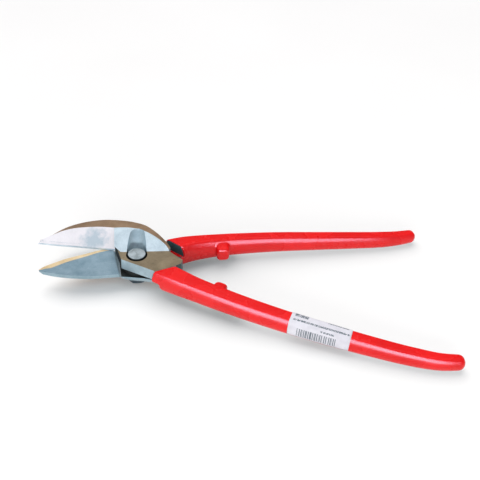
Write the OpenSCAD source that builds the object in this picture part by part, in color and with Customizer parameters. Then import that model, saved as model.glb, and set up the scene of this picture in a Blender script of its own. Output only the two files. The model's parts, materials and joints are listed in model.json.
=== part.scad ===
// Tin snips with two forged halves on one pivot bolt, laid-on cutting blades and dipped grips.
// The blades point along -X, the handles along +X and the pivot axis is Z. Z = 0 is the plane
// that the head rests on, and the halves meet at z = contact_z. Shown open, as when lying down.

/* [Pivot] */
// Height of the plane in which the two halves meet
contact_z = 13; // [12.5:0.5:15]
// Thickness of each half round the pivot
boss_t = 8; // [7.5:0.5:9]
// Radius of the pivot bolt's shank
bolt_r = 5; // [4:0.25:5.5]
// Radius of the pivot bolt's round head
head_r = 6.3; // [5.8:0.1:6.6]
// Radius of the pocket that the head sits in
pocket_r = 7.2; // [7:0.1:7.6]
// Depth of that pocket below the flat
pocket_depth = 4; // [3:0.25:4.5]
// Width across the flats of the pivot nut
nut_flats = 13; // [12:0.5:14]

/* [Blades] */
// Thickness of each laid-on blade
blade_t = 2.6; // [2:0.1:3]
// Height of the hump of the upper half above the meeting plane
hump_z = 13; // [11:0.5:14]
// Depth of the lower jaw below the meeting plane
lower_z = 8.6; // [7:0.2:9]

/* [Grips] */
// Thickness of the dipped plastic over the steel
dip_t = 1.4; // [1:0.1:2]
// Corner radius of the grip's section
grip_corner = 4.4; // [3:0.1:4.6]
// Size of the stop lug along the handle
lug_l = 6.5; // [5:0.5:9]
// Height of the stop lug along the pivot axis
lug_h = 7; // [5:0.5:8]

/* [Hidden] */
$fn = 64;

skin_gap = 0.05;
bore_clear = 0.05;
shoulder_d = 26;
shoulder_a = 58;
dip_start_d = 21.6;
flank_turn = 9.7;
trough_tilt = 64;
trough_l = 19;
trough_r = pocket_r - 0.25;
washer_t = 0.8;
washer_r = 8.2;
big = 400;

steel = [0.62, 0.62, 0.60];
bright = [0.86, 0.87, 0.90];
red = [0.88, 0.06, 0.06];

// Point on the Catmull-Rom curve from b to c
function blend(a, b, c, d, t) =
    0.5 * (2 * b + (c - a) * t + (2 * a - 5 * b + 4 * c - d) * t * t
    + (3 * b - a - 3 * c + d) * t * t * t);

// Smooth curve through the points, with n steps between neighbours
function curve(pts, n) = [
    for (i = [0:len(pts) - 2], k = [0:n - 1])
        blend(pts[max(i - 1, 0)], pts[i], pts[i + 1], pts[min(i + 2, len(pts) - 1)], k / n),
    pts[len(pts) - 1]
];

// Rounded rectangle of width w and height h, as points round its middle
function ring(w, h, r, per) = [
    for (q = [0:3], k = [0:per - 1])
        let (a = 90 * q + 90 * k / (per - 1),
             sx = (q == 0 || q == 3) ? 1 : -1,
             sy = (q < 2) ? 1 : -1)
        [sx * (w / 2 - r) + r * cos(a), sy * (h / 2 - r) + r * sin(a)]
];

// Heading of the path at station i, in the XY plane
function heading(path, i) =
    let (a = path[max(i - 1, 0)], b = path[min(i + 1, len(path) - 1)])
    atan2(b[1] - a[1], b[0] - a[0]);

// Section of a handle at a station [x, y, w, h, z], thinned by t
function handle_ring(s, head, t) =
    let (w = s[2] - 2 * t, h = s[3] - 2 * t, r = min(grip_corner - t, w / 2.02, h / 2.02))
    [for (p = ring(w, h, r, 4)) [s[0] - p[0] * sin(head), s[1] + p[0] * cos(head), s[4] + p[1]]];

// Closed solid through a list of rings with the same number of points
module skin_rings(rings) {
    m = len(rings[0]);
    n = len(rings);
    polyhedron(
        points = [for (r = rings) each r],
        faces = [
            [for (j = [0:m - 1]) j],
            for (i = [0:n - 2], j = [0:m - 1]) each [
                [i * m + j, (i + 1) * m + j, (i + 1) * m + (j + 1) % m],
                [i * m + j, (i + 1) * m + (j + 1) % m, i * m + (j + 1) % m]
            ],
            [for (j = [m - 1:-1:0]) (n - 1) * m + j]
        ]
    );
}

// Stations [x, y, w, h, z] of the upper half's handle, in front, and of the lower half's, behind
upper_path = [[8, -5.5, 17, 14.2, 1.6], [20, -12, 16.5, 14.2, 1.6], [30, -17, 15.5, 14.2, 1.5],
    [42, -22.5, 14, 13.8, 1.35], [56, -28.3, 13.5, 13.6, 1.1], [75, -35.6, 13, 13.2, 0.8],
    [100, -44, 12.3, 12.8, 0.3], [125, -51.5, 11.8, 12.4, 0], [150, -58.5, 11.2, 11.6, 0],
    [175, -64.6, 10.6, 10.8, 0], [194, -67.6, 10, 10.2, 0], [207, -67, 9.4, 9.6, 0]];
lower_path = [[8, 6, 17, 17.4, 0], [20, 13.5, 16.5, 17.4, 0], [29, 18.8, 15.5, 17, 0],
    [38, 22.8, 14.2, 16.4, 0], [52, 27.5, 13, 15.4, 0], [67, 31.6, 12.6, 14.6, 0],
    [95, 37.8, 12, 13.4, 0], [125, 43, 11.4, 12.2, 0], [155, 48, 10.8, 11.2, 0],
    [172, 51, 10.4, 10.6, 0], [185, 54.3, 10, 10, 0], [196, 58.4, 9.4, 9.4, 0]];

// Handle solid along its path, thinned by t, with a rounded far end
module handle(path, t) {
    fine = curve(path, 3);
    last = len(fine) - 1;
    head = heading(fine, last);
    tip = fine[last];
    rings = [for (i = [0:last]) handle_ring(fine[i], heading(fine, i), t)];
    dome = [for (a = [30, 55, 75])
        let (k = cos(a), reach = (tip[2] / 2 - t) * sin(a) * 0.9,
             w = (tip[2] - 2 * t) * k, h = (tip[3] - 2 * t) * k,
             r = min(grip_corner - t, w / 2.02, h / 2.02))
        [for (p = ring(w, h, r, 4))
            [tip[0] + reach * cos(head) - p[0] * sin(head),
             tip[1] + reach * sin(head) + p[0] * cos(head), tip[4] + p[1]]]];
    skin_rings(concat(rings, dome));
}

// Everything farther than d from the pivot axis in the direction a, from z0 to z1
module beyond(d, a, z0, z1)
    rotate([0, 0, a]) translate([d, -big / 2, z0]) cube([big, big, z1 - z0]);

// Stop lug on the inside of a handle, with its tip at [x, y] and its root turned by a
module lug(x, y, a, grow)
    translate([x, y, 0]) rotate([0, 0, a])
        translate([-lug_l / 2 - grow, 0, -lug_h / 2 - grow])
            cube([lug_l + 2 * grow, 10, lug_h + 2 * grow]);

module upper_lug(grow) mirror([0, 1, 0]) lug(58.2, 18 - grow, 20, grow);
module lower_lug(grow) lug(57.4, 18 - grow, 14, grow);

// Steel core of a handle, starting at the shoulder on the far side of the meeting plane
module core(path, side) {
    difference() {
        handle(path, dip_t);
        rotate([0, 0, side * shoulder_a]) translate([shoulder_d - big, -big / 2, side > 0 ? -skin_gap : -big])
            cube([big, big, big + skin_gap]);
    }
}

// Outline of the upper blade in plan
upper_edge = [[-72.3, 12], [-60, 11.7], [-44, 11.8], [-30, 11.8], [-17.3, 11.9]];
upper_back = [[-19.3, 34.6], [-30, 34], [-43, 31], [-54, 26.4], [-64.2, 17.6], [-72.3, 12]];
// Outline of the lower blade in plan
lower_edge = [[-63.6, -14.6], [-61.3, -11.1], [-57.5, -7.8], [-49.6, -1.5], [-42.8, 2.7],
    [-36.7, 6.2], [-28.1, 11.4], [-18.4, 15.2]];
lower_back = [[-9, -12.2], [-16.8, -14], [-24, -15.8], [-31.3, -16.9], [-38, -17.5], [-46, -17.7],
    [-54, -17.2], [-60, -16.6], [-62.8, -15.9]];

// Room cleared for each blade, up to its rear end
upper_seat = [[-17.3, 5], [-17.3, 11.6], [-19.3, 34.6], [-19.8, 42], [-90, 42], [-90, 5]];
lower_seat = [[-20, 20.4], [-18.4, 15.2], [-9, -12.2], [-6, -25], [-90, -25], [-90, 20.4]];

module upper_outline() polygon(concat(curve(upper_edge, 3), curve(upper_back, 3)));
module lower_outline() polygon(concat(curve(lower_edge, 3), curve(lower_back, 3)));

// Rows of points along the upper jaw: cutting side, ridge, outer edge of the land, back
jaw_edge = [[-70.6, 12.2, 2.4], [-64.5, 12.2, 2.4], [-54.5, 12.2, 2.4], [-43.5, 12.2, 2.4],
    [-31, 12.2, 2.4], [-17.3, 12.2, 2.4]];
jaw_ridge = [[-70.4, 12.9, 3.3], [-64, 17, 4.8], [-56, 20.6, 7.2], [-46, 22, 9.8],
    [-31, 22.6, hump_z - 1.1], [-19.6, 22, hump_z - 0.3]];
jaw_land = [[-70.3, 13.1, 3.3], [-63.9, 17.4, 4.7], [-54.6, 25, 7.1], [-43, 29.2, 9.7],
    [-30, 31, hump_z - 1.1], [-19.2, 31.2, hump_z - 0.3]];
jaw_back = [[-70.2, 13.4, 2.4], [-63.8, 17.8, 2.4], [-54, 26.4, 2.4], [-43, 31, 2.4],
    [-30, 34, 2.4], [-19.2, 34.6, 2.4]];

module upper_jaw() {
    e = curve(jaw_edge, 3);
    r = curve(jaw_ridge, 3);
    l = curve(jaw_land, 3);
    b = curve(jaw_back, 3);
    skin_rings([for (i = [0:len(e) - 1]) [b[i], l[i], r[i], e[i]]]);
}

// Rows of points over the pivot: foot and middle of the flank, ridge, outer edge of the land
hump_foot = [[-11.5, 1.6, boss_t], [-7, 2.1, boss_t], [0, 3.3, boss_t], [7, 4.5, boss_t],
    [14, 5.7, boss_t], [18.5, 6.5, boss_t], [21, 6.9, boss_t]];
hump_mid = [[-16.4, 5.6, boss_t + 1], [-9.5, 7, boss_t + 1.2], [-0.4, 8, boss_t + 1.2],
    [6.5, 8.2, boss_t + 1.2], [13.6, 7.9, boss_t + 1], [18.4, 7.5, boss_t + 0.5],
    [21, 7.2, boss_t + 0.1]];
hump_ridge = [[-19.6, 22, hump_z - 0.3], [-10.7, 23.2, hump_z], [-2, 22.4, hump_z],
    [5, 19.2, hump_z], [12.5, 14.8, hump_z - 1], [18.2, 10.8, hump_z - 2.9], [21, 8, boss_t + 0.3]];
hump_land = [[-19.2, 31.2, hump_z - 0.3], [-9.5, 30.4, hump_z], [0.4, 27.9, hump_z],
    [7, 23.6, hump_z - 0.2], [13.4, 18.4, hump_z - 1.2], [18.8, 13.8, hump_z - 3.2],
    [21.6, 10.6, boss_t + 0.3]];
hump_back = [[-19.2, 34.6, skin_gap], [-9.5, 33, skin_gap], [0.6, 29.2, skin_gap],
    [7.2, 24.2, skin_gap], [13.6, 18.8, skin_gap], [19, 14, skin_gap], [21.8, 10.8, skin_gap]];

module hump() {
    f = curve(hump_foot, 3);
    m = curve(hump_mid, 3);
    r = curve(hump_ridge, 3);
    l = curve(hump_land, 3);
    b = curve(hump_back, 3);
    skin_rings([for (i = [0:len(f) - 1])
        [b[i], l[i], r[i], m[i], f[i], [f[i][0], f[i][1], skin_gap]]]);
}

// Rows of points along the lower jaw, on its underside
under_edge = [[-62.8, -13.6, -2.4], [-57, -8, -2.4], [-48, -0.9, -2.4], [-38, 5, -2.4],
    [-27, 11.4, -2.4], [-16, 15.4, -2.4]];
under_near = [[-62.4, -14.3, -3.3], [-57, -10.6, -4.6], [-48, -5.6, -6.8], [-38, -1, -lower_z],
    [-27, 3, -lower_z], [-14, 5, -lower_z]];
under_far = [[-62.2, -14.8, -3.3], [-57, -13.2, -4.6], [-48, -12.2, -6.8], [-38, -10.2, -lower_z],
    [-27, -8.4, -lower_z], [-12, -5, -lower_z]];
under_back = [[-62, -15.6, -2.6], [-57, -16.8, -2.8], [-48, -17.6, -2.9], [-38, -17.4, -2.9],
    [-27, -16.2, -2.9], [-9, -12, -2.9]];
under_rim = [[-62, -15.7, -2.3], [-57, -16.9, -2.4], [-48, -17.7, -2.4], [-38, -17.5, -2.4],
    [-27, -16.3, -2.4], [-9, -12.1, -2.4]];

module lower_jaw() {
    e = curve(under_edge, 3);
    n = curve(under_near, 3);
    f = curve(under_far, 3);
    b = curve(under_back, 3);
    t = curve(under_rim, 3);
    skin_rings([for (i = [0:len(e) - 1]) [t[i], b[i], f[i], n[i], e[i]]]);
}

// Flat round the pivot, in plan, for the upper half; the lower half's differs by its back
upper_boss = [[-17.5, 11.6], [-9.5, -6.2], [13.9, -15.3], [14.7, -16.2], [27.8, -8],
    [31, -5.4], [31.6, -1.4], [21, 6.9], [18, 10], [0, 14], [-14, 14]];
lower_boss = [[-16, 15], [-8.8, -11.8], [-4, -11.7], [6, -11.6], [13, -12.4], [21, -6.9],
    [31.6, 1.4], [31, 5.4], [27.8, 8], [14.7, 16.2], [13, 15.4], [0, 14.4]];

module upper_half() color(steel) translate([0, 0, contact_z]) difference() {
    union() {
        upper_jaw();
        hump();
        translate([0, 0, skin_gap]) linear_extrude(boss_t - skin_gap) polygon(upper_boss);
        core(upper_path, -1);
        upper_lug(0);
    }
    translate([0, 0, -blade_t]) linear_extrude(2 * blade_t) polygon(upper_seat);
    translate([0, 0, -1]) cylinder(h = boss_t + 2, r = bolt_r + bore_clear);
    translate([0, 0, boss_t - pocket_depth]) cylinder(h = big / 8, r = pocket_r);
    intersection() {
        rotate([0, 0, flank_turn]) translate([0, 0, boss_t + 0.2]) rotate([-trough_tilt, 0, 0]) {
            cylinder(h = trough_l, r = trough_r);
            translate([0, 0, trough_l]) sphere(r = trough_r);
        }
        translate([-big / 8, -big / 8, boss_t - pocket_depth]) cube(big / 4);
    }
}

module lower_half() color(steel) translate([0, 0, contact_z]) difference() {
    union() {
        lower_jaw();
        difference() {
            translate([0, 0, -boss_t]) linear_extrude(boss_t - skin_gap) polygon(lower_boss);
            translate([-20, -11.6, -3]) rotate([31, 0, 0]) translate([0, -20, -20]) cube([60, 20, 20]);
        }
        core(lower_path, 1);
        lower_lug(0);
    }
    translate([0, 0, -blade_t]) linear_extrude(2 * blade_t) polygon(lower_seat);
    translate([0, 0, -boss_t - 1]) cylinder(h = boss_t + 2, r = bolt_r);
}

module upper_blade() color(bright) translate([0, 0, contact_z + skin_gap])
    linear_extrude(blade_t - skin_gap) upper_outline();

module lower_blade() color(bright) translate([0, 0, contact_z - blade_t])
    linear_extrude(blade_t - skin_gap) lower_outline();

// Dipped sleeve over a handle's core; side says which half of the height starts later
module sleeve(path, side) {
    lug_side = side;
    difference() {
        union() {
            handle(path, 0);
            if (lug_side < 0) upper_lug(dip_t);
            if (lug_side > 0) lower_lug(dip_t);
        }
        handle(path, dip_t);
        if (lug_side < 0) upper_lug(0);
        if (lug_side > 0) lower_lug(0);
        rotate([0, 0, side * shoulder_a]) translate([shoulder_d - big, -big / 2, side > 0 ? -skin_gap : -big])
            cube([big, big, big + skin_gap]);
        rotate([0, 0, side * shoulder_a]) translate([dip_start_d - big, -big / 2, -big / 2])
            cube([big, big, big]);
    }
}

module upper_grip() color(red) translate([0, 0, contact_z]) sleeve(upper_path, -1);
module lower_grip() color(red) translate([0, 0, contact_z]) sleeve(lower_path, 1);

head_bottom = boss_t - pocket_depth + skin_gap;
head_top = boss_t + 1.2;
nut_h = 3.4;

module pivot_bolt() color([0.72, 0.72, 0.72]) translate([0, 0, contact_z]) rotate_extrude()
    polygon([[0, -contact_z], [bolt_r - 0.8, -contact_z], [bolt_r, -contact_z + 0.8],
        [bolt_r, head_bottom], [head_r, head_bottom], [head_r, head_top - 0.5],
        [head_r - 0.5, head_top], [0, head_top]]);

module spring_washer() color([0.55, 0.55, 0.56]) translate([0, 0, contact_z - boss_t - washer_t])
    difference() {
        cylinder(h = washer_t, r = washer_r);
        translate([0, 0, -1]) cylinder(h = washer_t + 2, r = bolt_r + 0.2);
    }

module pivot_nut() color([0.8, 0.8, 0.8])
    translate([0, 0, contact_z - boss_t - washer_t - nut_h]) difference() {
        rotate([0, 0, 15]) cylinder(h = nut_h, r = nut_flats / sqrt(3), $fn = 6);
        translate([0, 0, -1]) cylinder(h = nut_h + 2, r = bolt_r);
    }

// Paper label wrapped over the top and the outer side of the front grip
label_from = 105;
label_to = 146;
label_t = 0.25;

module price_label() color([0.93, 0.93, 0.92]) translate([0, 0, contact_z]) difference() {
    intersection() {
        handle(upper_path, -label_t);
        rotate([0, 0, -17]) translate([label_from + 14, -30, -4]) cube([label_to - label_from + 2, 40, 20]);
    }
    handle(upper_path, 0);
    rotate([0, 0, -17]) translate([label_from, -9.5, -10]) cube([60, 20, 14]);
}

upper_half();
upper_blade();
upper_grip();
lower_half();
lower_blade();
lower_grip();
pivot_bolt();
spring_washer();
pivot_nut();
price_label();
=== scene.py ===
import json
import math
import bpy
import bmesh
import numpy as np
from mathutils import Matrix, Vector

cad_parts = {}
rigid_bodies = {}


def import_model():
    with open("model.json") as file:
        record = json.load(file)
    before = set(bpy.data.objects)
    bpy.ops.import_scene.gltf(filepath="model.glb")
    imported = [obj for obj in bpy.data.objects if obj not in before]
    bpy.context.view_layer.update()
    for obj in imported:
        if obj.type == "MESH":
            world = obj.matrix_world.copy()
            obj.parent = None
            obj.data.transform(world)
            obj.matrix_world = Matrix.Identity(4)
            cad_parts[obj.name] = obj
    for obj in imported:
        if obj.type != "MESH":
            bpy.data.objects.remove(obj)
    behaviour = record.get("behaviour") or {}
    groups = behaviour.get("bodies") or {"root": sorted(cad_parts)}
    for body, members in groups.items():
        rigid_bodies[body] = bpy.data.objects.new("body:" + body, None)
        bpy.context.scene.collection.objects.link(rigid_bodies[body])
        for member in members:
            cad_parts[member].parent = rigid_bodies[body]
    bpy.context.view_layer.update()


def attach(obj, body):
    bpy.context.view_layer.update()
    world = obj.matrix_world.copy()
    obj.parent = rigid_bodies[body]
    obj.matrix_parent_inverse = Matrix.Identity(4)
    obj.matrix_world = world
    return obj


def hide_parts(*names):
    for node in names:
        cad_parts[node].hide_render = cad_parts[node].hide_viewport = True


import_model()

# Sizes are in mm in the tool's own frame: the blades point along -X, Z is the pivot axis and z = 0
# is the plane in which the two halves meet. Materials, lights and the floor are in metres.
MM = 0.001

# Height of the meeting plane above the bottom of the frame
MEETING_Z = 13.0
# Play between faces that slide on each other
GAP = 0.05
# Thickness of each half round the pivot, and of each blade
BOSS_T = 8.0
BLADE_T = 2.6
# Height of the hump above the meeting plane and depth of the lower jaw below it
HUMP_Z = 13.0
JAW_DEPTH = 8.6
# Bolt: shank, head, and the pocket that the head sits in
SHANK_R = 4.95
BORE_R = 5.02
BOLT_HEAD_R = 6.05
POCKET_R = 7.2
POCKET_FLOOR = 4.0
# Reach of a round cutter past the halves
DRILL_REACH = 30
# Heights of the nut and of the washer over it, with a small play between them
NUT_BOTTOM = -12.2
NUT_TOP = -8.82
WASHER_BOTTOM = -8.8
WASHER_TOP = -8.02

# Cutters, which are removed once their cuts are applied
cutters = []


# ---------- geometry helpers ----------

def blend(a, b, c, d, t):
    """Point on the Catmull-Rom curve from b to c."""
    return 0.5 * (2 * b + (c - a) * t + (2 * a - 5 * b + 4 * c - d) * t * t
                  + (3 * b - a - 3 * c + d) * t ** 3)


def curve(pts, steps):
    """Smooth curve through the points, with that many steps between neighbours."""
    p = [np.array(q, float) for q in pts]
    last = len(p) - 1
    out = []
    for i in range(last):
        for k in range(steps):
            out.append(blend(p[max(i - 1, 0)], p[i], p[i + 1], p[min(i + 2, last)], k / steps))
    out.append(p[-1])
    return out


def mesh_object(name, verts, faces, paint, smooth=True):
    """New object; paint is None, one material, or a list with one material per face."""
    me = bpy.data.meshes.new(name)
    me.from_pydata([(x * MM, y * MM, (z + MEETING_Z) * MM) for x, y, z in verts], [], faces)
    bm = bmesh.new()
    bm.from_mesh(me)
    bmesh.ops.recalc_face_normals(bm, faces=bm.faces)
    bm.to_mesh(me)
    bm.free()
    per_face = paint if isinstance(paint, list) else [paint] * len(faces)
    mats = [m for m in dict.fromkeys(per_face) if m]
    for m in mats:
        me.materials.append(m)
    for polygon, m in zip(me.polygons, per_face):
        polygon.material_index = mats.index(m) if m else 0
        polygon.use_smooth = smooth
    o = bpy.data.objects.new(name, me)
    bpy.context.scene.collection.objects.link(o)
    return o


def piece(name, verts, faces, paint, body, node, slot, smooth=True):
    """Visible piece that rides on a body and stands for a CAD node."""
    o = mesh_object(name, verts, faces, paint, smooth)
    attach(o, body)
    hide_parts(node)
    return o


def loft(rings):
    """Closed skin through rings with the same number of points; both end caps come last."""
    m, n = len(rings[0]), len(rings)
    verts = [v for ring in rings for v in ring]
    faces = []
    for i in range(n - 1):
        for j in range(m):
            k = (j + 1) % m
            faces.append((i * m + j, (i + 1) * m + j, (i + 1) * m + k, i * m + k))
    faces.append(tuple(range(m)))
    faces.append(tuple((n - 1) * m + j for j in range(m - 1, -1, -1)))
    return verts, faces


def prism(outline, z0, z1):
    """Straight solid over an outline: the bottom, the top, then the sides."""
    n = len(outline)
    verts = [(x, y, z0) for x, y in outline] + [(x, y, z1) for x, y in outline]
    faces = [tuple(range(n - 1, -1, -1)), tuple(range(n, 2 * n))]
    faces += [(i, (i + 1) % n, n + (i + 1) % n, n + i) for i in range(n)]
    return verts, faces


def lathe(profile, n=96):
    """Solid turned about the pivot axis from points (r, z)."""
    verts, faces, rows = [], [], []
    for r, z in profile:
        start = len(verts)
        count = 1 if r == 0 else n
        rows.append(range(start, start + count))
        verts += [(r * math.cos(2 * math.pi * k / n), r * math.sin(2 * math.pi * k / n), z)
                  for k in range(count)]
    for a, b in zip(rows, rows[1:]):
        for k in range(n):
            q = (k + 1) % n
            if len(a) == 1:
                faces.append((a[0], b[k], b[q]))
            elif len(b) == 1:
                faces.append((a[k], b[0], a[q]))
            else:
                faces.append((a[k], b[k], b[q], a[q]))
    return verts, faces


def cutter(name, verts, faces, paint=None):
    """Solid that only cuts others; with a material it paints the cut and leaves it smooth."""
    o = mesh_object(name, verts, faces, paint, smooth=bool(paint))
    cutters.append(o)
    return o


def boolean(o, other, operation="DIFFERENCE"):
    m = o.modifiers.new("bool", "BOOLEAN")
    m.operation = operation
    m.solver = "EXACT"
    m.object = other
    if other.data.materials:
        m.material_mode = "TRANSFER"


def bevel(o, width, segments=2, angle=28):
    """Rounded edges where faces meet at more than that many degrees."""
    m = o.modifiers.new("bevel", "BEVEL")
    m.width = width * MM
    m.segments = segments
    m.limit_method = "ANGLE"
    m.angle_limit = math.radians(angle)
    m.harden_normals = True
    m.use_clamp_overlap = True


def bake(o):
    """Apply the modifiers, so that a cut stays with its piece when the joint turns."""
    bpy.context.view_layer.update()
    dg = bpy.context.evaluated_depsgraph_get()
    me = bpy.data.meshes.new_from_object(o.evaluated_get(dg), preserve_all_data_layers=True,
                                         depsgraph=dg)
    o.modifiers.clear()
    o.data = me


# ---------- shader helpers ----------

def material(name):
    m = bpy.data.materials.new(name)
    m.use_nodes = True
    return m, m.node_tree, m.node_tree.nodes["Principled BSDF"]


def object_coord(nt):
    """Place on the piece in the frame's metres."""
    return nt.nodes.new("ShaderNodeTexCoord").outputs["Object"]


def coord(nt, scale=(1, 1, 1), rot=(0, 0, 0)):
    mapping = nt.nodes.new("ShaderNodeMapping")
    mapping.inputs["Scale"].default_value = scale
    mapping.inputs["Rotation"].default_value = rot
    nt.links.new(object_coord(nt), mapping.inputs["Vector"])
    return mapping.outputs["Vector"]


def noise(nt, vec, scale, detail=4, rough=0.6):
    n = nt.nodes.new("ShaderNodeTexNoise")
    n.inputs["Scale"].default_value = scale
    n.inputs["Detail"].default_value = detail
    n.inputs["Roughness"].default_value = rough
    nt.links.new(vec, n.inputs["Vector"])
    return n.outputs["Fac"]


def ramp(nt, fac, low, high):
    """Colour between two stops (position, colour)."""
    r = nt.nodes.new("ShaderNodeValToRGB")
    for element, (position, color) in zip(r.color_ramp.elements, (low, high)):
        element.position = position
        element.color = (*color, 1)
    nt.links.new(fac, r.inputs["Fac"])
    return r.outputs["Color"]


def mathn(nt, operation, *values):
    n = nt.nodes.new("ShaderNodeMath")
    n.operation = operation
    for i, v in enumerate(values):
        if isinstance(v, (int, float)):
            n.inputs[i].default_value = v
        else:
            nt.links.new(v, n.inputs[i])
    return n.outputs[0]


def maprange(nt, v, from_min, from_max, to_min, to_max):
    n = nt.nodes.new("ShaderNodeMapRange")
    nt.links.new(v, n.inputs["Value"])
    n.inputs["From Min"].default_value = from_min
    n.inputs["From Max"].default_value = from_max
    n.inputs["To Min"].default_value = to_min
    n.inputs["To Max"].default_value = to_max
    return n.outputs["Result"]


def overlay(nt, mask, under, color):
    """The colour under it, with a plain colour laid over where the mask is 1."""
    factor, first, second, result = 0, 6, 7, 2
    n = nt.nodes.new("ShaderNodeMix")
    n.data_type = "RGBA"
    nt.links.new(mask, n.inputs[factor])
    nt.links.new(under, n.inputs[first])
    n.inputs[second].default_value = (*color, 1)
    return n.outputs[result]


def axis_xy(nt):
    """Distances from the pivot axis along X and Y, in metres."""
    sep = nt.nodes.new("ShaderNodeSeparateXYZ")
    nt.links.new(object_coord(nt), sep.inputs[0])
    return sep.outputs[0], sep.outputs[1]


def axis_distance(nt, x, y):
    return mathn(nt, "SQRT", mathn(nt, "ADD", mathn(nt, "MULTIPLY", x, x),
                                   mathn(nt, "MULTIPLY", y, y)))


def bump(nt, b, height, strength, distance):
    n = nt.nodes.new("ShaderNodeBump")
    n.inputs["Strength"].default_value = strength
    n.inputs["Distance"].default_value = distance
    nt.links.new(height, n.inputs["Height"])
    nt.links.new(n.outputs["Normal"], b.inputs["Normal"])


# ---------- materials ----------

def dip():
    """Glossy red dipped plastic with slow waves and a fine orange peel."""
    m, nt, b = material("red_dip")
    slow = noise(nt, coord(nt), 55, 3, 0.5)
    fine = noise(nt, coord(nt), 900, 3)
    color = ramp(nt, slow, (0.3, (0.74, 0.0, 0.001)), (0.7, (0.87, 0.001, 0.002)))
    nt.links.new(color, b.inputs["Base Color"])
    nt.links.new(maprange(nt, slow, 0.3, 0.7, 0.22, 0.32), b.inputs["Roughness"])
    b.inputs["Specular IOR Level"].default_value = 0.27
    b.inputs["Coat Weight"].default_value = 0.25
    b.inputs["Coat Roughness"].default_value = 0.18
    b.inputs["Subsurface Weight"].default_value = 0.04
    b.inputs["Subsurface Radius"].default_value = (0.004, 0.0008, 0.0005)
    bump(nt, b, mathn(nt, "ADD", slow, mathn(nt, "MULTIPLY", fine, 0.12)), 0.35, 0.0006)
    return m


def steel(name, dark, light, rough, metal, stretch, turn=0.0, depth=0.12, spots=0.0):
    """Ground steel: grinding lines, a cloudy tone and, where spots is above 0, small stains."""
    m, nt, b = material(name)
    lines = noise(nt, coord(nt, stretch, (0, 0, turn)), 260, 3, 0.7)
    cloud = noise(nt, coord(nt), 90, 5)
    tone = mathn(nt, "ADD", mathn(nt, "MULTIPLY", lines, 0.45), mathn(nt, "MULTIPLY", cloud, 0.55))
    color = ramp(nt, tone, (0.36, dark), (0.62, light))
    if spots:
        specks = noise(nt, coord(nt, rot=(0.3, 0.2, 1)), 420, 2, 0.5)
        stain = (dark[0] * 0.45, dark[1] * 0.42, dark[2] * 0.4)
        color = overlay(nt, maprange(nt, specks, 0.64, 0.72, 0.0, spots), color, stain)
    nt.links.new(color, b.inputs["Base Color"])
    b.inputs["Metallic"].default_value = metal
    nt.links.new(maprange(nt, lines, 0.3, 0.7, rough - 0.07, rough + 0.08), b.inputs["Roughness"])
    bump(nt, b, lines, depth, 0.00008)
    return m


def turned(name, dark, light, rough, rim=None):
    """Turned steel with rings, a painted sheen brighter in two opposite sectors round the axis, and
    dark outside the rim (m).
    """
    ring_rate, rim_edge = 30000.0, 0.0002
    m, nt, b = material(name)
    x, y = axis_xy(nt)
    r = axis_distance(nt, x, y)
    rings = mathn(nt, "SINE", mathn(nt, "MULTIPLY", r, ring_rate))
    cloud = noise(nt, coord(nt), 260)
    tone = mathn(nt, "ADD", mathn(nt, "MULTIPLY", rings, 0.12), cloud)
    angle = mathn(nt, "ARCTAN2", y, x)
    # Painted sheen: two opposite brighter sectors round the axis
    painted_sheen = mathn(nt, "SINE", mathn(nt, "MULTIPLY_ADD", angle, 2.0, 0.9))
    color = ramp(nt, mathn(nt, "MULTIPLY_ADD", painted_sheen, 0.13, tone), (0.3, dark), (0.7, light))
    if rim:
        outside = maprange(nt, r, rim, rim + rim_edge, 0.0, 1.0)
        color = overlay(nt, outside, color, (0.015, 0.02, 0.022))
    nt.links.new(color, b.inputs["Base Color"])
    b.inputs["Metallic"].default_value = 0.5
    nt.links.new(maprange(nt, cloud, 0.3, 0.7, rough - 0.05, rough + 0.08), b.inputs["Roughness"])
    bump(nt, b, tone, 0.12, 0.00008)
    return m


def lay_over(m, make_mask, color):
    """Lay a plain colour over a finished material, where the mask made for it is 1."""
    nt = m.node_tree
    base = nt.nodes["Principled BSDF"].inputs["Base Color"]
    nt.links.new(overlay(nt, make_mask(nt), base.links[0].from_socket, color), base)


def painted_reflection_patch(nt):
    """Ragged round painted reflection on the ground face of the upper jaw, in metres."""
    centre, inner_r, outer_r, raggedness = (-0.033, 0.0158, 0.0176), 0.003, 0.0115, 0.004
    n = nt.nodes.new("ShaderNodeVectorMath")
    n.operation = "DISTANCE"
    nt.links.new(object_coord(nt), n.inputs[0])
    n.inputs[1].default_value = centre
    wander = maprange(nt, noise(nt, coord(nt), 230), 0.3, 0.7, -raggedness, raggedness)
    return maprange(nt, mathn(nt, "ADD", n.outputs["Value"], wander), inner_r, outer_r, 0.85, 0.0)


def dark_pocket_ring(nt):
    """Dark line where the trough meets the pocket of the bolt head, in metres."""
    inner_r, outer_r = 0.0076, 0.0080
    return maprange(nt, axis_distance(nt, *axis_xy(nt)), inner_r, outer_r, 1.0, 0.0)


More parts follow.
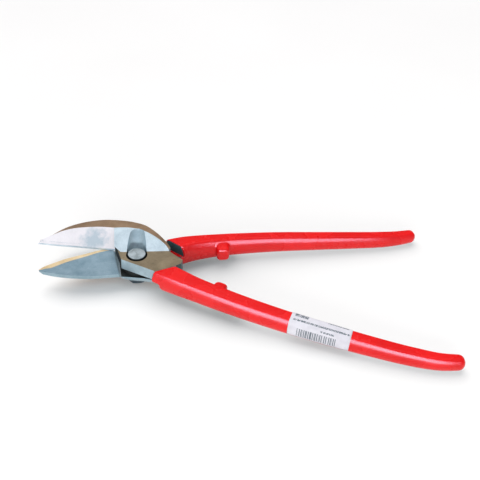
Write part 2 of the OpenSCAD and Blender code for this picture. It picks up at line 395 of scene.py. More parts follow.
def label_paper():
    """White sticker with broken grey lines and plain bars, laid out along the strip by its UVs."""
    m, nt, b = material("label_paper")
    uv = nt.nodes.new("ShaderNodeUVMap")
    uv.uv_map = "strip"
    sep = nt.nodes.new("ShaderNodeSeparateXYZ")
    nt.links.new(uv.outputs[0], sep.inputs[0])
    u, v = sep.outputs[0], sep.outputs[1]

    def band(x, low, high):
        return mathn(nt, "MULTIPLY", mathn(nt, "GREATER_THAN", x, low),
                     mathn(nt, "LESS_THAN", x, high))

    def printed(u0, u1, v0, v1, pattern):
        return mathn(nt, "MULTIPLY", mathn(nt, "MULTIPLY", band(u, u0, u1), band(v, v0, v1)), pattern)

    dash = mathn(nt, "GREATER_THAN", noise(nt, coord(nt), 1500, 1, 0.5), 0.44)
    waves = mathn(nt, "ADD", mathn(nt, "SINE", mathn(nt, "MULTIPLY", u, 171.0)),
                  mathn(nt, "SINE", mathn(nt, "MULTIPLY", u, 263.0)))
    bars = mathn(nt, "GREATER_THAN", waves, 0.0)
    ink = printed(0.06, 0.28, 0.80, 0.93, dash)
    for block in (printed(0.05, 0.97, 0.62, 0.70, dash), printed(0.15, 0.78, 0.06, 0.40, bars),
                  printed(0.60, 0.94, 0.88, 0.93, dash), printed(0.52, 0.74, 0.47, 0.52, dash)):
        ink = mathn(nt, "MAXIMUM", ink, block)
    cloud = noise(nt, coord(nt), 160)
    paper = ramp(nt, cloud, (0.3, (0.66, 0.64, 0.69)), (0.7, (0.78, 0.76, 0.81)))
    color = overlay(nt, mathn(nt, "MULTIPLY", ink, 0.86), paper, (0.03, 0.07, 0.09))
    nt.links.new(color, b.inputs["Base Color"])
    b.inputs["Roughness"].default_value = 0.38
    bump(nt, b, cloud, 0.15, 0.0002)
    return m


RED = dip()
# Its brown stands in for a warm reflection on the land faces: painted reflection
LAND_PAINTED_REFLECTION = steel("land_painted_reflection", (0.26, 0.160, 0.092), (0.42, 0.28, 0.175), 0.46, 0.45, (1.5, 40, 40))
SATIN = steel("satin_steel", (0.47, 0.58, 0.65), (0.76, 0.88, 0.95), 0.50, 0.35, (40, 2, 2),
              turn=0.2, depth=0.16, spots=0.10)
FLAT = steel("flat_steel", (0.24, 0.188, 0.118), (0.44, 0.345, 0.225), 0.42, 0.55, (1.5, 40, 40),
             turn=0.45, spots=0.3)
WALL = steel("forged_wall", (0.31, 0.42, 0.48), (0.54, 0.67, 0.72), 0.45, 0.5, (4, 4, 30),
             depth=0.2, spots=0.2)
# Darker copy of the wall steel: painted shade on the cores' shoulders and on the boss walls beside
# the grips
PAINTED_SHADE = steel("painted_shade_wall", (0.045, 0.095, 0.10), (0.10, 0.19, 0.20), 0.5, 0.4, (4, 4, 30),
              depth=0.2, spots=0.2)
GROUND = steel("ground_blade", (0.80, 0.77, 0.80), (0.95, 0.91, 0.94), 0.42, 0.12, (50, 1.2, 1.2),
               turn=0.1, depth=0.08)
FACET = steel("blade_facet", (0.42, 0.53, 0.60), (0.72, 0.80, 0.86), 0.34, 0.4, (1, 40, 40))
INNER = steel("blade_inner", (0.19, 0.30, 0.37), (0.37, 0.50, 0.58), 0.45, 0.45, (2, 50, 50),
              turn=0.6, depth=0.1, spots=0.15)
GOLD = steel("edge_land", (0.62, 0.45, 0.24), (0.92, 0.72, 0.44), 0.36, 0.2, (1.5, 50, 50),
             turn=0.7, depth=0.1)
# Near black: painted shade in the slot, in the pocket round the bolt head, and on the recess and pad
# between the halves
PAINTED_BLACK_SHADE = steel("painted_shade_recess", (0.006, 0.008, 0.008), (0.02, 0.024, 0.022), 0.7, 0.2, (6, 6, 6))
EDGE = steel("plate_edge", (0.20, 0.31, 0.36), (0.36, 0.48, 0.54), 0.42, 0.4, (4, 40, 40),
             depth=0.15, spots=0.15)
TROUGH = steel("trough_steel", (0.31, 0.43, 0.50), (0.54, 0.67, 0.74), 0.38, 0.45, (3, 40, 3))
BOLT = turned("bolt_steel", (0.30, 0.36, 0.38), (0.62, 0.70, 0.74), 0.34, rim=0.0058)
NUT = turned("nut_steel", (0.045, 0.065, 0.085), (0.13, 0.17, 0.20), 0.4)
PAPER = label_paper()
# Painted reflection: a bluish patch on the ground face of the upper jaw
lay_over(GROUND, painted_reflection_patch, (0.46, 0.56, 0.63))
lay_over(TROUGH, dark_pocket_ring, (0.012, 0.015, 0.016))


# ---------- handles ----------

# Stations [x, y, width, height, z of the middle] of the front handle and of the rear one
UPPER_PATH = [[8, -5.5, 17, 14.2, 1.6], [20, -12, 16.5, 14.2, 1.6], [30, -17, 15.5, 14.2, 1.5],
              [42, -22.5, 14, 13.8, 1.35], [56, -28.3, 13.5, 13.6, 1.1],
              [75, -35.6, 13, 13.2, 0.8], [100, -44, 12.3, 12.8, 0.3],
              [125, -51.5, 11.8, 12.4, 0], [150, -58.5, 11.2, 11.6, 0],
              [175, -64.6, 10.6, 10.8, 0], [194, -67.6, 10, 10.2, 0], [207, -67, 9.4, 9.6, 0]]
LOWER_PATH = [[8, 6, 17, 17.4, 0], [20, 13.5, 16.5, 17.4, 0], [29, 18.8, 15.5, 17, 0],
              [38, 22.8, 14.2, 16.4, 0], [52, 27.5, 13, 15.4, 0], [67, 31.6, 12.6, 14.6, 0],
              [95, 37.8, 12, 13.4, 0], [125, 43, 11.4, 12.2, 0], [155, 48, 10.8, 11.2, 0],
              [172, 51, 10.4, 10.6, 0], [185, 54.3, 10, 10, 0], [196, 58.4, 9.4, 9.4, 0]]

# How far the plastic stays inside those stations, and the bare steel
DIP_INSET = 0.06
CORE_INSET = 0.7
# Stations that the bare steel passes before it ends inside the grip
CORE_STATIONS = 6
# Lean of the sides' edges in degrees: at the head, what the rest of the handle adds, and how many
# times over it would be added along the whole handle
HEAD_LEAN = 24
REST_LEAN = 17
LEAN_RATE = 2.2
# Share of the handle after which its section gets rounder, and by how much
END_FROM = 0.84
END_LEAN = 14
END_SOFT = 0.2
CORNER_SOFT = 0.15
# Section of the rounded end, and its length as a share of half the width
CAP_LEAN = 55
CAP_SOFT = 0.35
CAP_REACH = 0.88
# Distances from the pivot to the plastic's start, the steel's start and the shoulder, measured in
# a direction turned by this many degrees from X to the handle's side
DIP_START, DIP_ANGLE = 21.6, 60
CORE_START = 21.2
SHOULDER, SHOULDER_ANGLE = 26.0, 58
DIP_SHOULDER = SHOULDER + 0.2
# Size of a lug along the handle, across it and along the pivot axis
LUG_SIZE = (9.4, 12.0, 10.6)
# How square a lug is seen from the side and from above: 1 is an ellipse, 0 a sharp block
LUG_SIDE, LUG_PLAN = 0.45, 0.5
# Size of the grid that grows the lug and the grip together
DIP_GRID = 0.5
# Reach of a cutter that has to cover the whole head or handle
CUT_LENGTH, CUT_WIDTH, CUT_HEIGHT = 300, 200, 40


def path_points(path, steps):
    """Stations along the smooth path, and the heading at each."""
    stations = curve(path, steps)
    heads = []
    for i in range(len(stations)):
        a, b = stations[max(i - 1, 0)], stations[min(i + 1, len(stations) - 1)]
        heads.append(math.atan2(b[1] - a[1], b[0] - a[0]))
    return stations, heads


def section(w, h, lean, per=8, soft=CORNER_SOFT):
    """Flat top and bottom with bulged sides, as points (across, up).

    Each side is an arc whose ends lean by that many degrees. The corners' radius is the share soft
    of the smaller side, and per is the number of steps in each arc.
    """
    side_r = h / 2 / math.sin(math.radians(lean))
    corner_r = soft * min(w, h)
    middle = w / 2 - side_r
    reach = math.sqrt((side_r - corner_r) ** 2 - (h / 2 - corner_r) ** 2)
    turn = math.atan2(h / 2 - corner_r, reach)
    quarter = [(middle + side_r * math.cos(turn * k / per), side_r * math.sin(turn * k / per))
               for k in range(per)]
    for k in range(per + 1):
        a = turn + (math.pi / 2 - turn) * k / per
        quarter.append((middle + reach + corner_r * math.cos(a),
                        h / 2 - corner_r + corner_r * math.sin(a)))
    half = quarter + [(-x, y) for x, y in quarter[::-1]]
    return half + [(x, -y) for x, y in half[::-1]][1:-1]


def place(p, x, y, head, z):
    """Point p of a section, set up across the heading at (x, y, z)."""
    return (x - p[0] * math.sin(head), y + p[0] * math.cos(head), z + p[1])


def handle_rings(path, inset, steps):
    """Rings along a handle, set in by the inset all round."""
    stations, heads = path_points(path, steps)
    rings = []
    for i, ((x, y, w, h, z), head) in enumerate(zip(stations, heads)):
        share = i / len(stations)
        end = max(0.0, (share - END_FROM) / (1 - END_FROM))
        lean = HEAD_LEAN + REST_LEAN * min(1.0, share * LEAN_RATE) + END_LEAN * end
        shape = section(w - 2 * inset, h - 2 * inset, lean, soft=CORNER_SOFT + END_SOFT * end)
        rings.append([place(p, x, y, head, z) for p in shape])
    return rings


def cap_rings(path, inset, steps):
    """Rings of the rounded far end of a handle."""
    stations, heads = path_points(path, steps)
    x, y, w, h, z = stations[-1]
    head = heads[-1]
    rings = []
    for angle in range(8, 89, 8):
        shrink = math.cos(math.radians(angle)) ** 0.8
        reach = (w / 2 - inset) * math.sin(math.radians(angle)) * CAP_REACH
        shape = section((w - 2 * inset) * shrink, (h - 2 * inset) * shrink, CAP_LEAN, soft=CAP_SOFT)
        rings.append([place(p, x + reach * math.cos(head), y + reach * math.sin(head), head, z)
                      for p in shape])
    return rings


def headward(name, distance, angle, z0, z1):
    """Cutter over everything nearer to the head than the distance along the angle."""
    a = math.radians(angle)
    corners = [(distance, -CUT_WIDTH), (distance - CUT_LENGTH, -CUT_WIDTH),
               (distance - CUT_LENGTH, CUT_WIDTH), (distance, CUT_WIDTH)]
    outline = [(u * math.cos(a) - v * math.sin(a), u * math.sin(a) + v * math.cos(a))
               for u, v in corners]
    return cutter(name, *prism(outline, z0, z1))


def other_half(side):
    """Heights on the other half's side of the meeting plane; side is 1 for the lower half."""
    return (-GAP, CUT_HEIGHT) if side > 0 else (-CUT_HEIGHT, GAP)


def soft_block(cx, cy, angle, size, around=40, up=20):
    """Superellipsoid: a block with well rounded edges, turned by the angle."""
    def power(x, exponent):
        return math.copysign(abs(x) ** exponent, x)

    a = math.radians(angle)
    verts, faces = [], []
    for i in range(up + 1):
        rise = -math.pi / 2 + math.pi * i / up
        for j in range(around):
            turn = 2 * math.pi * j / around
            x = size[0] / 2 * power(math.cos(rise), LUG_SIDE) * power(math.cos(turn), LUG_PLAN)
            y = size[1] / 2 * power(math.cos(rise), LUG_SIDE) * power(math.sin(turn), LUG_PLAN)
            z = size[2] / 2 * power(math.sin(rise), LUG_SIDE)
            verts.append((cx + x * math.cos(a) - y * math.sin(a),
                          cy + x * math.sin(a) + y * math.cos(a), z))
    for i in range(up):
        for j in range(around):
            k = (j + 1) % around
            faces.append((i * around + j, i * around + k, (i + 1) * around + k, (i + 1) * around + j))
    return verts, faces


def grip(body, path, side, lug_xy, lug_angle):
    """Dipped plastic over a handle, grown together with its lug."""
    name = body + "_grip_dip"
    verts, faces = loft(handle_rings(path, DIP_INSET, 9) + cap_rings(path, DIP_INSET, 9))
    lug_verts, lug_faces = soft_block(*lug_xy, lug_angle, LUG_SIZE)
    faces += [tuple(len(verts) + i for i in f) for f in lug_faces]
    o = piece(name, verts + lug_verts, faces, RED, body, body + "_grip", "red_dip")
    boolean(o, headward(name + "_end", DIP_START, DIP_ANGLE * side, -CUT_HEIGHT, CUT_HEIGHT))
    boolean(o, headward(name + "_shoulder", DIP_SHOULDER, SHOULDER_ANGLE * side, *other_half(side)))
    remesh = o.modifiers.new("remesh", "REMESH")
    remesh.mode = "VOXEL"
    remesh.voxel_size = DIP_GRID * MM
    remesh.use_smooth_shade = True
    relax = o.modifiers.new("smooth", "SMOOTH")
    relax.factor = 0.5
    relax.iterations = 5


def core(body, path, side):
    """Bare end of a handle's steel, with the shoulder on the far side of the meeting plane, painted
    dark as shade.
    """
    name = body + "_core"
    verts, faces = loft(handle_rings(path[:CORE_STATIONS], CORE_INSET, 6))
    o = piece(name, verts, faces, PAINTED_SHADE, body, body + "_half", "forged_steel")
    boolean(o, headward(name + "_end", CORE_START, SHOULDER_ANGLE * side, -CUT_HEIGHT, CUT_HEIGHT))
    boolean(o, headward(name + "_shoulder", SHOULDER, SHOULDER_ANGLE * side, *other_half(side)))
    bevel(o, 0.3)


grip("upper", UPPER_PATH, -1, (58.2, -22.4), -20)
grip("lower", LOWER_PATH, 1, (57.4, 22.4), 14)
core("upper", UPPER_PATH, -1)
core("lower", LOWER_PATH, 1)


# ---------- upper half ----------

def forged(name, body, rows, strips, cap):
    """Forged piece through smooth rows of points, with a material for each strip between rows."""
    rings = list(zip(*[curve(row, 10) for row in rows]))
    verts, faces = loft(rings)
    paint = strips * (len(rings) - 1) + [cap, cap]
    return piece(name, verts, faces, paint, body, body + "_half", "forged_steel")


def upper_jaw():
    """Backing of the upper blade: back, land along it, ridge, and the edge over the blade."""
    back = [[-70.8, 13.8, 2.2], [-63.8, 17.8, 2.6], [-54, 26.4, 2.6], [-43, 31, 2.6],
            [-30, 34, 2.6], [-19.2, 34.6, 2.6]]
    land = [[-70.9, 13.6, 2.9], [-63.9, 17.4, 4.7], [-54.6, 25, 7.1], [-43, 29.2, 9.7],
            [-30, 31, HUMP_Z - 1.1], [-19.2, 31.2, HUMP_Z - 0.3]]
    ridge = [[-71.0, 13.4, 2.9], [-64, 17, 4.8], [-56, 20.6, 7.2], [-46, 22, 9.8],
             [-31, 22.6, HUMP_Z - 1.1], [-19.6, 22, HUMP_Z - 0.3]]
    edge = [[-71.2, 12.9, 2.2], [-64.5, 13.1, 2.6], [-54.5, 13.1, 2.6], [-43.5, 13.1, 2.6],
            [-31, 13.1, 2.6], [-17.3, 13.2, 2.6]]
    # The land strip carries the painted warm reflection
    o = forged("upper_jaw_back", "upper", [back, land, ridge, edge], [WALL, LAND_PAINTED_REFLECTION, GROUND, FACET],
               LAND_PAINTED_REFLECTION)
    bevel(o, 0.22)


def trough_tool():
    """Round-ended rod whose tilted cut runs from the pocket up the hump."""
    radius, length, turn, tilt = 6.95, 19, 9.7, -64
    profile = [(0, 0), (radius, 0), (radius, length)]
    profile += [(radius * math.cos(math.radians(a)), length + radius * math.sin(math.radians(a)))
                for a in range(6, 90, 6)]
    verts, faces = lathe(profile + [(0, length + radius)], 128)
    swing = (Matrix.Rotation(math.radians(turn), 3, "Z")
             @ Matrix.Rotation(math.radians(tilt), 3, "X"))
    foot = Vector((0, 0, BOSS_T + 0.2))
    return cutter("trough", [tuple(swing @ Vector(v) + foot) for v in verts], faces, TROUGH)


def hump(pocket, trough):
    """Hump over the pivot, from the back over the land and the ridge down to the foot."""
    back = [[-19.2, 34.6, GAP], [-9.5, 33, GAP], [0.6, 29.2, GAP], [7.2, 24.2, GAP],
            [13.6, 18.8, GAP], [19, 14, GAP], [21.8, 10.8, GAP]]
    land = [[-19.2, 31.2, HUMP_Z - 0.3], [-9.5, 30.4, HUMP_Z], [0.4, 27.9, HUMP_Z],
            [7, 23.6, HUMP_Z - 0.2], [13.4, 18.4, HUMP_Z - 1.2], [18.8, 13.8, HUMP_Z - 3.2],
            [21.6, 10.6, BOSS_T + 0.3]]
    ridge = [[-19.6, 22, HUMP_Z - 0.3], [-10.7, 23.2, HUMP_Z], [-2, 22.4, HUMP_Z],
             [5, 19.2, HUMP_Z], [12.5, 14.8, HUMP_Z - 1], [18.2, 10.8, HUMP_Z - 2.9],
             [21, 8, BOSS_T + 0.3]]
    middle = [[-16.4, 5.6, BOSS_T + 1], [-9.5, 7, BOSS_T + 1.2], [-0.4, 8, BOSS_T + 1.2],
              [6.5, 8.2, BOSS_T + 1.2], [13.6, 7.9, BOSS_T + 1], [18.4, 7.5, BOSS_T + 0.5],
              [21, 7.2, BOSS_T + 0.1]]
    foot = [[-11.5, 1.6, BOSS_T], [-7, 2.1, BOSS_T], [0, 3.3, BOSS_T], [7, 4.5, BOSS_T],
            [14, 5.7, BOSS_T], [18.5, 6.5, BOSS_T], [21, 6.9, BOSS_T]]
    low = [[x, y, GAP] for x, y, _ in foot]
    # The land strip carries the painted warm reflection
    o = forged("upper_hump", "upper", [back, land, ridge, middle, foot, low],
               [WALL, LAND_PAINTED_REFLECTION, SATIN, SATIN, WALL, WALL], WALL)
    boolean(o, pocket)
    boolean(o, trough)
    bevel(o, 0.2)


def upper_boss(pocket, trough):
    """Flat boss round the bolt head; its wall carries black painted shade by the slot and painted
    shade towards the handles.
    """
    outline = [(-17.5, 11.6), (-9.5, -6.2), (13.9, -15.3), (14.7, -16.2), (27.8, -8),
               (31, -5.4), (31.6, -1.4), (21, 6.9), (18, 10), (0, 14), (-14, 14)]
    # Black painted shade on the slot's wall, painted shade on the three walls towards the handles
    walls = [PAINTED_BLACK_SHADE] + [WALL] * 3 + [PAINTED_SHADE] * 3 + [WALL] * 4
    o = piece("upper_boss", *prism(outline, GAP, BOSS_T), [WALL, FLAT] + walls, "upper",
              "upper_half", "forged_steel")
    boolean(o, pocket)
    boolean(o, trough)
    bevel(o, 0.3)


# The pocket's walls take the black painted shade of the recess
pocket = cutter("pocket", *lathe([(0, POCKET_FLOOR), (POCKET_R, POCKET_FLOOR),
                                  (POCKET_R, DRILL_REACH), (0, DRILL_REACH)]), PAINTED_BLACK_SHADE)
trough = trough_tool()
upper_jaw()
hump(pocket, trough)
upper_boss(pocket, trough)


# ---------- blades ----------

UPPER_EDGE = [[-72.3, 12.2], [-60, 11.8], [-44, 11.9], [-30, 11.9], [-17.3, 12.1]]
UPPER_BACK = [[-72.1, 12.5], [-64.2, 17.4], [-54, 26.4], [-43, 31], [-30, 34], [-19.3, 34.6]]
LOWER_EDGE = [[-63.9, -14.9], [-61.3, -11.1], [-57.5, -7.8], [-49.6, -1.5], [-42.8, 2.7],
              [-36.7, 6.2], [-28.1, 11.4], [-19.4, 14.8]]
LOWER_BACK = [[-63.3, -16], [-60, -16.6], [-54, -17.2], [-46, -17.7], [-38, -17.5],
              [-31.3, -16.9], [-24, -15.8], [-16.8, -14], [-10, -12.5]]

# Width of the bright land along the cutting edge: at the tip, and what it loses by the rear end
LAND_TIP, LAND_LOSS = 4.4, 2.9
# Depth of the hollow behind the land, and the width over which it falls away
HOLLOW, HOLLOW_EDGE = 0.22, 0.5
# Width of the ground slope on the outside
SLOPE = 1.2
# Share of the thickness left at the tip, and of the length over which it comes back
TIP_T, TIP_LENGTH = 0.3, 0.05
# Shares of the blade's width that the land, the hollow's start and the slope never pass
LAND_MAX, HOLLOW_MAX, SLOPE_MAX = 0.42, 0.5, 0.4
# Share of the hollow's depth that is left along the back
BACK_HOLLOW = 0.3


def resample(pts, count):
    """Evenly spaced points along the smooth curve through pts."""
    c = np.array(curve(pts, 12))
    run = np.concatenate([[0], np.cumsum(np.linalg.norm(np.diff(c, axis=0), axis=1))])
    at = np.linspace(0, run[-1], count)
    return np.stack([np.interp(at, run, c[:, 0]), np.interp(at, run, c[:, 1])], 1)


def plate(body, side, edge, back, edge_t, outer, count=60):
    """Blade with a land along its cutting edge, a shallow hollow behind it and a slope outside."""
    inside = side * GAP
    hollow = side * HOLLOW
    rings = []
    for i, (e, b) in enumerate(zip(resample(edge, count), resample(back, count))):
        share = i / (count - 1)
        width = np.linalg.norm(b - e)
        land = LAND_TIP - LAND_LOSS * share ** 1.5
        thick = TIP_T + (1 - TIP_T) * min(1.0, share / TIP_LENGTH)
        outside = inside + (side * BLADE_T - inside) * thick
        brink = inside + (side * edge_t - inside) * thick
        inner = e + (b - e) * (min(land, LAND_MAX * width) / width)
        deep = e + (b - e) * (min(land + HOLLOW_EDGE, HOLLOW_MAX * width) / width)
        crest = e + (b - e) * (min(SLOPE, SLOPE_MAX * width) / width)
        rings.append([(*e, inside), (*inner, inside), (*deep, inside + hollow),
                      (*b, inside + hollow * BACK_HOLLOW), (*b, outside), (*crest, outside),
                      (*e, brink)])
    verts, faces = loft(rings)
    strips = [GOLD, INNER, INNER, outer, INNER, GROUND, outer]
    o = piece(body + "_blade_plate", verts, faces, strips * (count - 1) + [WALL, WALL], body,
              body + "_blade", "blade_steel")
    bevel(o, 0.1, angle=40)


plate("upper", 1, UPPER_EDGE, UPPER_BACK, 1.5, FACET)
plate("lower", -1, LOWER_EDGE, LOWER_BACK, 1.6, EDGE)


# ---------- lower half ----------

# Depth below the meeting plane to which the boss is recessed round its pad
RECESS = 2.6
# Radius of the pad round the bolt
PAD_R = 10


def lower_jaw():
    """Backing of the lower blade: back, far and near edge of the sole, and the cutting side."""
    back = [[-62, -15.6, -2.7], [-57, -16.8, -2.8], [-48, -17.6, -2.9], [-38, -17.4, -2.9],
            [-27, -16.2, -2.9], [-9, -12, -2.9]]
    far = [[-62.2, -14.8, -3.3], [-57, -13.2, -4.6], [-48, -12.2, -6.8], [-38, -10.2, -JAW_DEPTH],
           [-27, -8.4, -JAW_DEPTH], [-12, -5, -JAW_DEPTH]]
    near = [[-62.4, -14.3, -3.3], [-57, -10.6, -4.6], [-48, -5.6, -6.8], [-38, -1, -JAW_DEPTH],
            [-27, 3, -JAW_DEPTH], [-14, 5, -JAW_DEPTH]]
    edge = [[-62.8, -13.6, -BLADE_T], [-57, -8, -BLADE_T], [-48, -0.9, -BLADE_T],
            [-38, 5, -BLADE_T], [-27, 11.4, -BLADE_T], [-16, 15.4, -BLADE_T]]
    rim = [[x, y, -BLADE_T] for x, y, _ in back]
    # The land strip carries the painted warm reflection
    o = forged("lower_jaw_back", "lower", [rim, back, far, near, edge],
               [EDGE, WALL, LAND_PAINTED_REFLECTION, SATIN, WALL], WALL)
    bevel(o, 0.2)


def lower_boss():
    """Boss under the pivot: its sole, its full outline, and the recess that faces up, painted black
    as shade.
    """
    shared = [(21, -6.9), (31.6, 1.4), (31, 5.4), (27.8, 8), (14.7, 16.2), (13, 15.4), (0, 14.4)]
    full = [(-16, 15), (-8.8, -11.8), (-4, -11.7), (6, -11.6), (13, -12.4)] + shared
    sole = [(-13, 13), (-8.2, -7.6), (-4, -8.7), (6, -8.7), (12, -9.2)] + shared
    rings = [[(x, y, z) for x, y in outline]
             for outline, z in ((sole, -BOSS_T), (full, -RECESS - 1), (full, -RECESS))]
    walls = [WALL] * len(sole) + [EDGE] * len(full)
    o = piece("lower_boss", *loft(rings), walls + [FLAT, PAINTED_BLACK_SHADE], "lower", "lower_half",
              "forged_steel", smooth=False)
    drill = [(0, -DRILL_REACH), (BORE_R, -DRILL_REACH), (BORE_R, DRILL_REACH), (0, DRILL_REACH)]
    boolean(o, cutter("bolt_hole", *lathe(drill)))
    bevel(o, 0.3)


def lower_pad():
    """Raised ring on which the upper half turns, painted black as shade like the recess round it."""
    n = 96
    foot = -RECESS - 0.1
    profile = [(BORE_R, foot), (BORE_R, -GAP), (PAD_R - 0.4, -GAP), (PAD_R, -0.4), (PAD_R, foot)]
    verts, faces = lathe(profile, n)
    last = (len(profile) - 1) * n
    faces += [(last + k, last + (k + 1) % n, (k + 1) % n, k) for k in range(n)]
    piece("lower_pad", verts, faces, PAINTED_BLACK_SHADE, "lower", "lower_half", "forged_steel", smooth=False)


lower_jaw()
lower_boss()
lower_pad()


# ---------- bolt, washer, nut ----------

def bolt():
    """Round-headed bolt: chamfered end, thread, plain shank, and a slightly domed head."""
    thread_from, pitch, turns, thread_depth = -12.5, 1.25, 4, 0.5
    shank_from, head_from, head_side_to = -7.9, 4.1, 8.6
    profile = [(0, -MEETING_Z), (3.6, -MEETING_Z), (4.2, 0.1 - MEETING_Z)]
    for turn in range(turns):
        z = thread_from + turn * pitch
        profile += [(SHANK_R, z), (SHANK_R, z + 0.25), (SHANK_R - thread_depth, z + 0.62)]
    profile += [(SHANK_R, shank_from), (SHANK_R, head_from), (BOLT_HEAD_R, head_from),
                (BOLT_HEAD_R, head_side_to)]
    profile += [(5.9, 8.88), (5.6, 9.02), (5.2, 9.1), (3.6, 9.16), (1.8, 9.19), (0, 9.2)]
    o = piece("pivot_bolt_turned", *lathe(profile), BOLT, "lower", "pivot_bolt", "bolt_steel")
    bevel(o, 0.08, 1, 40)


def washer():
    """Split washer: a ring with a narrow gap across it."""
    inner, outer, half_gap, steps = 5.2, 8.2, 4, 72
    corners = ((inner, WASHER_BOTTOM), (outer, WASHER_BOTTOM), (outer, WASHER_TOP),
               (inner, WASHER_TOP))
    rings = []
    for k in range(steps + 1):
        a = math.radians(half_gap + (360 - 2 * half_gap) * k / steps)
        rings.append([(r * math.cos(a), r * math.sin(a), z) for r, z in corners])
    o = piece("spring_washer_split", *loft(rings), NUT, "lower", "spring_washer", "bolt_steel")
    bevel(o, 0.12)


def nut():
    """Hexagon nut with its corners turned off at both ends."""
    corner_r, cone_r, hole_r, skew = 7.5, 7.6, 4.7, 15
    outline = [(corner_r * math.cos(math.radians(skew + 60 * k)),
                corner_r * math.sin(math.radians(skew + 60 * k))) for k in range(6)]
    o = piece("pivot_nut_hex", *prism(outline, NUT_BOTTOM, NUT_TOP), NUT, "lower", "pivot_nut",
              "bolt_steel", smooth=False)
    cone = [(0, NUT_BOTTOM), (cone_r - 1.1, NUT_BOTTOM), (cone_r, NUT_BOTTOM + 0.6),
            (cone_r, NUT_TOP - 0.58), (cone_r - 1, NUT_TOP), (0, NUT_TOP)]
    boolean(o, cutter("nut_cone", *lathe(cone)), "INTERSECT")
    boolean(o, cutter("nut_hole", *lathe([(0, -20), (hole_r, -20), (hole_r, 0), (0, 0)])))
    bevel(o, 0.1, 1, 40)


bolt()
washer()
nut()


# ---------- label ----------

def label():
    """Paper sheet from the lower outer side of the front grip over its top to the back edge."""
    x_from, x_to = 104.5, 143.5
    outer_skin, inner_skin = 0.22, 0.02
    across = 18
    wrap = np.linspace(219, 48, across)
    stations, heads = path_points(UPPER_PATH, 24)
    span = [(s, head) for s, head in zip(stations, heads) if x_from <= s[0] <= x_to]
    along = len(span)
    layer = along * across
    verts, uvs, faces = [], [], []
    for skin in (outer_skin, inner_skin):
        for i, ((x, y, w, h, z), head) in enumerate(span):
            shape = np.array(section(w + 2 * skin, h + 2 * skin, HEAD_LEAN + REST_LEAN, per=16))
            angle = (np.degrees(np.arctan2(shape[:, 1], shape[:, 0])) + 360) % 360
            order = np.argsort(angle)
            row = zip(np.interp(wrap, angle[order], shape[order, 0]),
                      np.interp(wrap, angle[order], shape[order, 1]))
            for j, p in enumerate(row):
                verts.append(place(p, x, y, head, z))
                uvs.append((i / (along - 1), j / (across - 1)))
    for first in (0, layer):
        for i in range(along - 1):
            for j in range(across - 1):
                a = first + i * across + j
                face = (a, a + 1, a + across + 1, a + across)
                faces.append(face[::-1] if first else face)
    rim = [i * across for i in range(along)]
    rim += [(along - 1) * across + j for j in range(1, across)]
    rim += [i * across + across - 1 for i in range(along - 2, -1, -1)]
    rim += list(range(across - 2, 0, -1))
    faces += [(a, b, b + layer, a + layer) for a, b in zip(rim, rim[1:] + rim[:1])]
    o = piece("price_label_sheet", verts, faces, PAPER, "upper", "price_label", "label_paper")
    strip = o.data.uv_layers.new(name="strip")
    for loop in o.data.loops:
        strip.data[loop.index].uv = uvs[loop.vertex_index]


label()

for o in list(bpy.context.scene.objects):
    if o.type == "MESH" and o not in cutters and len(o.modifiers):
        bake(o)
for o in cutters:
    bpy.data.objects.remove(o)


# ---------- floor and light ----------

def floor_material():
    m, nt, b = material("studio")
    cloud = noise(nt, coord(nt), 3, 2, 0.5)
    nt.links.new(ramp(nt, cloud, (0.3, (0.84, 0.82, 0.80)), (0.7, (0.87, 0.85, 0.83))),
                 b.inputs["Base Color"])
    b.inputs["Roughness"].default_value = 0.9
    b.inputs["Specular IOR Level"].default_value = 0.1
    b.inputs["Emission Color"].default_value = (1, 1, 1, 1)
    b.inputs["Emission Strength"].default_value = 0.085
    return m


def floor():
    """Table under the three places on which the tool rests: the bolt's end and both handle ends."""
    bolt_end = Vector((0, 0, -0.0003))
    upper_end = Vector((0.207, -0.067, 0.0078))
    lower_end = Vector((0.196, 0.058, 0.0078))
    half_size = 4.0
    normal = (upper_end - bolt_end).cross(lower_end - bolt_end).normalized()
    u = (Vector((1, 0, 0)) - normal * normal.x).normalized()
    w = normal.cross(u)
    corners = [tuple(bolt_end + u * x * half_size + w * y * half_size)
               for x, y in ((-1, -1), (1, -1), (1, 1), (-1, 1))]
    me = bpy.data.meshes.new("floor")
    me.from_pydata(corners, [], [(0, 1, 2, 3)])
    me.materials.append(floor_material())
    o = bpy.data.objects.new("floor", me)
    bpy.context.scene.collection.objects.link(o)


def world():
    """Pale studio, brighter from above and from the front."""
    w = bpy.data.worlds.new("studio")
    bpy.context.scene.world = w
    w.use_nodes = True
    nt = w.node_tree
    background = nt.nodes["Background"]
    tc = nt.nodes.new("ShaderNodeTexCoord")
    sep = nt.nodes.new("ShaderNodeSeparateXYZ")
    nt.links.new(tc.outputs["Generated"], sep.inputs[0])
    above = maprange(nt, sep.outputs[2], 0.66, 0.84, 0.0, 1.0)
    front = maprange(nt, sep.outputs[1], -0.25, 0.15, 1.0, 0.0)
    sky = ramp(nt, mathn(nt, "MAXIMUM", above, front), (0.0, (0.38, 0.36, 0.35)),
               (1.0, (0.88, 0.93, 1.0)))
    nt.links.new(sky, background.inputs["Color"])
    background.inputs["Strength"].default_value = 0.57


def light(kind, name, direction, energy):
    """Light of that kind, pointed along the direction."""
    li = bpy.data.lights.new(name, kind)
    li.energy = energy
    o = bpy.data.objects.new(name, li)
    o.rotation_mode = "QUATERNION"
    o.rotation_quaternion = Vector(direction).to_track_quat("-Z", "Y")
    bpy.context.scene.collection.objects.link(o)
    return o


def area(name, height, size, energy, color=(1, 1, 1)):
    """Rectangular light in front of the tool, at that height."""
    place_at, target = Vector((-0.05, -1.0, height)), Vector((0.06, 0, 0))
    o = light("AREA", name, target - place_at, energy)
    o.location = place_at
    o.data.shape = "RECTANGLE"
    o.data.size, o.data.size_y = size
    o.data.color = color
    return o


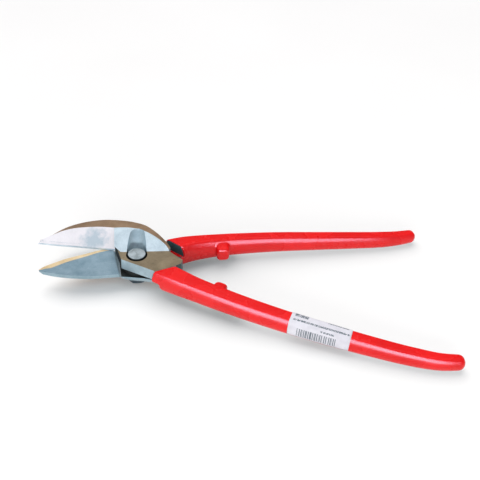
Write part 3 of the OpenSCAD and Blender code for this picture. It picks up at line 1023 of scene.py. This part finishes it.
def sheen_on_grips():
    """Pinkish light that shows only in the grips' gloss; the grips throw no red on the floor."""
    sheen = area("sheen", 0.36, (1.7, 0.9), 66.0, (0.80, 0.70, 0.94))
    sheen.visible_diffuse = False
    grips = bpy.data.collections.new("sheen_on_grips")
    for o in bpy.context.scene.objects:
        if o.name.endswith("_grip_dip"):
            grips.objects.link(o)
            o.visible_diffuse = False
    sheen.light_linking.receiver_collection = grips


floor()
world()
key = light("SUN", "key", (0.26, -0.48, -0.84), 2.3)
key.data.angle = math.radians(70)
key.visible_glossy = False
area("front", 0.30, (1.2, 0.34), 4.4)
sheen_on_grips()


# ---------- camera ----------

# The photo looks down on the table from the front. The tool lies on it tilted and turned a little,
# so the view is set up over the table and then brought into the tool's frame.
ELEVATION = math.radians(38.382)
DISTANCE = 486.25
CAMERA_ROLL = math.radians(-2.152)
TOOL_PITCH = math.radians(1.604)
TOOL_ROLL = math.radians(-1.145)
TOOL_YAW = math.radians(-2.181)
# Place of the pivot on the table, as seen from the point at which the camera looks
PIVOT_AT = Vector((-64.80, -32.55, 0.0))
SENSOR = 36
LENS = 50.1615
FRAME_SHIFT = (0.016375, -0.00433333)


def camera():
    to_tool = (Matrix.Rotation(-TOOL_PITCH, 3, "Y") @ Matrix.Rotation(-TOOL_ROLL, 3, "X")
               @ Matrix.Rotation(-TOOL_YAW, 3, "Z"))
    back = Vector((0, -math.cos(ELEVATION), math.sin(ELEVATION)))
    level = Vector((1, 0, 0))
    upright = back.cross(level)
    right = math.cos(CAMERA_ROLL) * level - math.sin(CAMERA_ROLL) * upright
    up = math.sin(CAMERA_ROLL) * level + math.cos(CAMERA_ROLL) * upright
    view = Matrix([to_tool @ v for v in (right, up, back)]).transposed().to_4x4()
    view.translation = (to_tool @ (back * DISTANCE - PIVOT_AT) + Vector((0, 0, MEETING_Z))) * MM
    cam = bpy.data.cameras.new("camera")
    cam.sensor_width = SENSOR
    cam.lens = LENS
    cam.shift_x, cam.shift_y = FRAME_SHIFT
    cam.clip_start, cam.clip_end = 0.01, 20
    o = bpy.data.objects.new("camera", cam)
    bpy.context.scene.collection.objects.link(o)
    o.matrix_world = view
    bpy.context.scene.camera = o


camera()
bpy.context.scene.view_settings.view_transform = "Standard"
